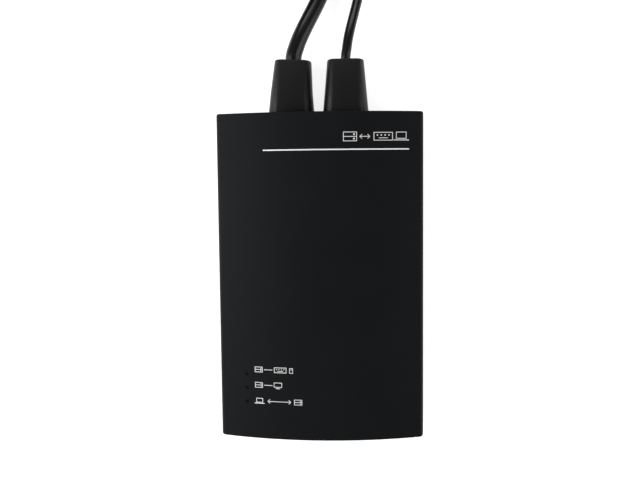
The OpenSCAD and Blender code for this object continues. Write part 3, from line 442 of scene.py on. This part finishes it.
# The boots: two hollow bungs of soft black PVC, moulded on the leads, with corners that are oval,
# higher than wide. Each has a neck that the split end wall traps, and tapers to a blunt tip with
# a slightly rounded rim, where a low collar grips the lead.
oval = 1.6


def rounded_ring(bm, y, width, height, radius):
    ring = bmesh.ops.create_circle(bm, cap_ends=False, segments=48, radius=1)["verts"]
    radius_up = min(oval * radius, height / 2)
    for vert in ring:
        across, up = vert.co.x, vert.co.y
        corner_x = (width / 2 - radius) * (1 if across > 0 else -1)
        corner_z = (height / 2 - radius_up) * (1 if up > 0 else -1)
        vert.co = (corner_x + across * radius, y, corner_z + up * radius_up)
    return ring


def loft(bm, rings):
    loops = [list({edge for vert in ring for edge in vert.link_edges}) for ring in rings]
    for one, other in zip(loops, loops[1:]):
        bmesh.ops.bridge_loops(bm, edges=one + other)
    for ring in (rings[0], rings[-1]):
        bmesh.ops.contextual_create(bm, geom=ring)
    bmesh.ops.recalc_face_normals(bm, faces=bm.faces)


boot_length = 0.0210
boot_height = 0.0122
end_wall = 0.065


def boot(name, node, x, lean, lead_radius, material):
    bm = bmesh.new()
    bore = 2 * lead_radius
    stations = [
        (-0.0045, 0.0182, 0.0145, 0.0025),
        (-0.0021, 0.0182, 0.0145, 0.0025),
        (-0.0020, 0.0150, 0.0110, 0.0025),
        (-0.0001, 0.0150, 0.0110, 0.0025),
        (0.0000, 0.0180, 0.0143, 0.0040),
        (0.0003, 0.0182, 0.0145, 0.0041),
        (0.0080, 0.01680, 0.01338, 0.0038),
        (0.0205, 0.0146, 0.0116, 0.0032),
        (0.0208, 0.0144, 0.0114, 0.0031),
        (0.02095, 0.0141, 0.0111, 0.0030),
        (0.0210, 0.0136, 0.0106, 0.0028),
        (0.02102, 0.0132, 0.0102, 0.0026),
        (0.02105, bore + 0.0016, bore + 0.0016, lead_radius + 0.0008),
        (0.0213, bore + 0.0012, bore + 0.0012, lead_radius + 0.0006),
        (0.02133, bore, bore, lead_radius),
        (0.0180, bore, bore, lead_radius),
    ]
    rings = [rounded_ring(bm, *station) for station in stations]
    loft(bm, rings)
    for vert in bm.verts:
        share = min(max(vert.co.y / boot_length, 0), 1)
        vert.co = Matrix.Rotation(radians(lean) * share, 3, "Z") @ vert.co
    bmesh.ops.translate(bm, vec=(x, end_wall, boot_height), verts=bm.verts)
    return finished(bm, name, material, node, angle=50)


boot_black = moulded(
    "boot_black", (0.0038, 0.0034, 0.0035), grain=0.0009, depth=0.00002, rough=0.46, gloss=0.22
)
video_diameter = 0.0065
video_lean = -2.4
data_diameter = 0.0039
boot("video_boot_moulding", "video_boot", -0.0113, video_lean, video_diameter / 2, boot_black)
boot("data_boot_moulding", "data_boot", 0.0105, 0, data_diameter / 2, boot_black)

# The two leads: a thick video lead and a thin data lead, each a soft PVC jacket over its wires.
# Each leaves its boot, sinks to the table, is wound into a flat pile of turns for storage and
# ends in its plug. The jacket is extruded, which leaves fine lines along it.


def smooth_share(t):
    return t * t * (3 - 2 * t)


def pile_of_turns(middle, low, start, turns, outer, pitch, diameter):
    total = 360 * turns - start
    count = ceil(total * 24 / 360)

    def place(angle):
        here = outer - pitch * min(angle, total - angle) / 360
        climb = smooth_share(min(max((angle - total / 2 + 90) / 180, 0), 1))
        turned = radians(start + angle)
        return Vector((middle[0] + here * cos(turned), middle[1] + here * sin(turned), low + pitch * climb))

    wound = [place(total * i / count) for i in range(count + 1)]
    first = wound[0] - diameter * (place(0.5) - wound[0]).normalized()
    last = wound[-1] + diameter * (wound[-1] - place(total - 0.5)).normalized()
    return [first, *wound, last]


def lead_route(leave, lean, route, pile, plug, diameter):
    out = [leave, leave + diameter / 3 * Vector((-sin(radians(lean)), cos(radians(lean)), 0))]
    out += [Vector(p) for p in route]
    out += [pile[0] - diameter / 2 * (pile[1] - pile[0]).normalized()]
    away = (pile[-1] - pile[-2]).normalized()
    start = pile[-1] + diameter / 2 * away
    end = plug - Vector((0, diameter / 2, 0))
    tail = [start]
    for forward, aside in ((0.35, 0.22), (0.65, 0.78)):
        way = end - start
        tail.append(start + Vector((way.x * aside, way.y * forward, way.z * aside)))
    return out + pile + tail + [end, plug]


def jacket(name, colour, lines):
    material = bpy.data.materials.new(name)
    material.use_nodes = True
    shader = material.node_tree.nodes["Principled BSDF"]
    shader.inputs["Roughness"].default_value = 0.24
    shader.inputs["Specular IOR Level"].default_value = 0.28
    place = node_of(material, "ShaderNodeTexCoord")
    stretch = node_of(material, "ShaderNodeMapping")
    stretch.inputs["Scale"].default_value = (60, lines, 1)
    wire(material, place, "UV", stretch, "Vector")
    drawn = node_of(material, "ShaderNodeTexNoise", Scale=1, Detail=2)
    wire(material, stretch, "Vector", drawn, "Vector")
    tone = node_of(material, "ShaderNodeValToRGB")
    tone.color_ramp.elements[0].color = (*[c * 0.8 for c in colour], 1)
    tone.color_ramp.elements[1].color = (*[c * 1.25 for c in colour], 1)
    wire(material, drawn, "Fac", tone, "Fac")
    wire(material, tone, "Color", shader, "Base Color")
    raised = node_of(material, "ShaderNodeBump", Strength=0.15, Distance=0.0002)
    wire(material, drawn, "Fac", raised, "Height")
    wire(material, raised, "Normal", shader, "Normal")
    return material


def lead(name, points, diameter, material):
    curve = bpy.data.curves.new(name, "CURVE")
    curve.dimensions = "3D"
    curve.bevel_depth = diameter / 2
    curve.bevel_resolution = 6
    curve.use_fill_caps = True
    spline = curve.splines.new("NURBS")
    spline.points.add(len(points) - 1)
    for target, point in zip(spline.points, points):
        target.co = (*point, 1)
    spline.order_u = 3
    spline.use_endpoint_u = True
    spline.resolution_u = 4
    curve.materials.append(material)
    laid = bpy.data.objects.new(name, curve)
    bpy.context.scene.collection.objects.link(laid)
    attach(laid, "adapter")
    return laid


jacket_black = (0.0035, 0.0035, 0.0042)
video_leave = Vector((-0.01042, 0.08598, boot_height))
video_coil = (-0.024, 0.155)
video_plug = Vector((0.0154, 0.177, 0.00775))
video_way = [
    (-0.0096, 0.0904, 0.0121),
    (-0.0083, 0.0942, 0.0116),
    (-0.0063, 0.0987, 0.0106),
    (-0.004, 0.1035, 0.0091),
    (-0.0016, 0.1085, 0.0074),
    (0.0008, 0.114, 0.0057),
    (0.0034, 0.120, 0.0046),
    (0.0062, 0.1265, 0.0042),
]
video_pile = pile_of_turns(
    video_coil, low=0.00415, start=-23, turns=4, outer=0.0388, pitch=0.0071, diameter=video_diameter
)
video_points = lead_route(video_leave, video_lean, video_way, video_pile, video_plug, video_diameter)
video_lead = lead("video_lead", video_points, video_diameter, jacket("video_jacket", jacket_black, 40))
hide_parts("video_cord", "video_cord_coil", "video_cord_tail")

data_leave = Vector((0.0105, 0.0860, boot_height))
data_coil = (-0.020, 0.155)
data_plug = Vector((0.01005, 0.186, 0.0198))
data_way = [
    (0.0109, 0.090, 0.0121),
    (0.0116, 0.095, 0.0114),
    (0.0127, 0.100, 0.0099),
    (0.0139, 0.105, 0.0079),
    (0.0151, 0.110, 0.006),
    (0.0162, 0.115, 0.0046),
    (0.0172, 0.120, 0.004),
    (0.018, 0.125, 0.0043),
    (0.0187, 0.130, 0.0056),
    (0.019, 0.135, 0.0076),
    (0.0191, 0.140, 0.0103),
    (0.0186, 0.145, 0.0133),
    (0.017, 0.1505, 0.0158),
    (0.0144, 0.156, 0.0172),
    (0.011, 0.161, 0.0176),
]
data_pile = pile_of_turns(
    data_coil, low=0.01765, start=35, turns=6, outer=0.02825, pitch=0.0045, diameter=data_diameter
)
data_points = lead_route(data_leave, 0, data_way, data_pile, data_plug, data_diameter)
data_lead = lead("data_lead", data_points, data_diameter, jacket("data_jacket", jacket_black, 30))
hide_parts("data_cord", "data_cord_coil", "data_cord_tail")

# The wraps that hold the coils: a strip of black hook-and-loop tape round one side of each,
# closed over its own end. One face is fleece and the other fine hooks, so that it looks dull.


def fleece(name, colour):
    material = moulded(name, colour, grain=0.0004, depth=0.00008, rough=0.85, gloss=0.15, uneven=0.25)
    shader = material.node_tree.nodes["Principled BSDF"]
    shader.inputs["Sheen Weight"].default_value = 0.25
    shader.inputs["Sheen Roughness"].default_value = 0.5
    return material


def tape(name, node, middle, turned, along, low, width, height, radius, material):
    bm = bmesh.new()
    strip = bmesh.ops.create_grid(bm, x_segments=104, y_segments=6, size=1)["verts"]
    thick = 0.0006
    for vert in strip:
        way, side = (vert.co.x + 1) / 2, vert.co.y
        angle = radians(-22 + 404 * way)
        lifted = thick * 1.05 * smooth_share(min(max((way - 0.86) / 0.08, 0), 1))
        rounded_end = max(0, way - 0.985) / 0.015
        out_x = (width / 2 - radius) * (1 if cos(angle) > 0 else -1) + (radius + lifted) * cos(angle)
        out_z = (height / 2 - radius) * (1 if sin(angle) > 0 else -1) + (radius + lifted) * sin(angle)
        vert.co = (out_x, side * 0.004 * (1 - 0.25 * rounded_end**2), out_z)
    bmesh.ops.recalc_face_normals(bm, faces=bm.faces)
    bmesh.ops.solidify(bm, geom=bm.faces[:], thickness=-thick)
    bmesh.ops.recalc_face_normals(bm, faces=bm.faces)
    bmesh.ops.translate(bm, vec=(along, 0, 0), verts=bm.verts)
    bmesh.ops.rotate(bm, cent=(0, 0, 0), matrix=Matrix.Rotation(radians(turned), 3, "Z"), verts=bm.verts)
    bmesh.ops.translate(bm, vec=(*middle, low), verts=bm.verts)
    return finished(bm, name, material, node, angle=50)


wrap_black = fleece("wrap_black", (0.012, 0.012, 0.013))
video_tape = tape(
    "video_wrap", "video_coil_tie", video_coil, turned=168.5, along=0.031473, low=0.0077,
    width=0.0146, height=0.0142, radius=video_diameter / 2, material=wrap_black,
)
data_tape = tape(
    "data_wrap", "data_coil_tie", data_coil, turned=225, along=0.021719, low=0.0199,
    width=0.0145875, height=0.0090, radius=data_diameter / 2, material=wrap_black,
)

# The video plug: a hood of black PVC moulded over the solder joints, narrow where the fingers
# hold it, with low ribs there. In front are the drawn nickel-plated shell and fifteen gilt pins.
plug_black = moulded("plug_black", (0.009, 0.009, 0.0098), grain=0.0004, depth=0.00003, rough=0.46, gloss=0.4)
video_hood = softened("video_plug_hood", 0.0002, plug_black, clamped=False)


def ribs(name, middle, count, pitch, length, width, height, material):
    bm = bmesh.new()
    for face in (-1, 1):
        for row in range(count):
            rib = bmesh.ops.create_cube(bm, size=1)["verts"]
            bmesh.ops.scale(bm, vec=(length, width, 0.0008), verts=rib)
            at = (middle[0], middle[1] + (row - (count - 1) / 2) * pitch, middle[2] + face * height / 2)
            bmesh.ops.translate(bm, vec=at, verts=rib)
    bmesh.ops.bevel(
        bm, geom=bm.edges[:], offset=0.00028, segments=3, profile=0.5, affect="EDGES", material=-1
    )
    return finished(bm, name, material, angle=60)


hood_ribs = ribs(
    "video_hood_ribs", (video_plug.x, 0.1995, video_plug.z), count=6, pitch=0.0021,
    length=0.0112, width=0.0010, height=0.0134, material=plug_black,
)
video_shell = softened("video_plug_shell", 0.00012, nickel)
insert_blue = moulded("insert_blue", (0.012, 0.03, 0.19), grain=0.0005, depth=0.00001, rough=0.42)
dress("video_plug_insert", insert_blue)
dress("video_plug_pins", gold)

# The two thumbscrews of the video plug: a grooved knob of black nylon, slotted for a driver and
# moulded on a plated steel screw, whose end has a rolled 0.64 mm thread. Each turns in the hood.
knob_black = moulded("knob_black", (0.011, 0.011, 0.012), grain=0.0003, depth=0.00001, rough=0.4, gloss=0.45)


flange_face = 0.2238
screw_from_middle = 0.012495


def threaded_screw(name, node, body, x, z, face, material):
    low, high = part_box(node)
    shank, core, crest, pitch, turns = 0.0012, 0.00117, 0.00142, 0.00064, 9.2
    bm = bmesh.new()
    for radius, start, end in ((shank, low.y, face), (core, face - 0.0001, high.y)):
        rod = bmesh.ops.create_cone(
            bm, cap_ends=True, segments=32, radius1=radius, radius2=radius, depth=end - start
        )["verts"]
        bmesh.ops.rotate(bm, cent=(0, 0, 0), matrix=Matrix.Rotation(radians(-90), 3, "X"), verts=rod)
        bmesh.ops.translate(bm, vec=(x, (start + end) / 2, z), verts=rod)
    tip = [e for e in bm.edges if min(vert.co.y for vert in e.verts) > high.y - 0.00001]
    bmesh.ops.bevel(bm, geom=tip, offset=0.0002, segments=1, profile=0.5, affect="EDGES", material=-1)
    first = face + 0.0003
    corners = [
        bm.verts.new((x + core - 0.00003, first - pitch * 0.44, z)),
        bm.verts.new((x + crest, first - pitch * 0.06, z)),
        bm.verts.new((x + crest, first + pitch * 0.06, z)),
        bm.verts.new((x + core - 0.00003, first + pitch * 0.44, z)),
    ]
    ridge = [bm.edges.new(pair) for pair in zip(corners, corners[1:] + corners[:1])]
    bmesh.ops.spin(
        bm, geom=corners + ridge, cent=(x, first, z), axis=(0, 1, 0), dvec=(0, pitch / 32, 0),
        angle=2 * pi * turns, steps=ceil(32 * turns), use_merge=False,
    )
    bmesh.ops.holes_fill(bm, edges=[e for e in bm.edges if e.is_boundary], sides=4)
    bmesh.ops.recalc_face_normals(bm, faces=bm.faces)
    return finished(bm, name, material, node, body, angle=40)


for side, way in (("left", -1), ("right", 1)):
    body = "thumbscrew_" + side
    x = video_plug.x + way * screw_from_middle
    softened(body + "_knob", 0.00012, knob_black, body, clamped=False)
    threaded_screw(body + "_threaded_screw", body + "_screw", body, x, video_plug.z, flange_face, nickel)

# The data plug: a flat body of the same black PVC over the crimped end of a nickel-plated shell,
# which holds a white insulator with four gilt contacts.
data_body = softened("data_plug_body", 0.0005, plug_black)
body_ribs = ribs(
    "data_plug_ribs", (data_plug.x, 0.2055, data_plug.z), count=5, pitch=0.0021,
    length=0.0100, width=0.0010, height=0.0080, material=plug_black,
)
data_shell = softened("data_plug_shell", 0.00008, nickel)
dress("data_plug_insert", moulded("insert_white", (0.76, 0.76, 0.74), grain=0.0004, depth=0.00001, rough=0.4))
dress("data_plug_contacts", gold)
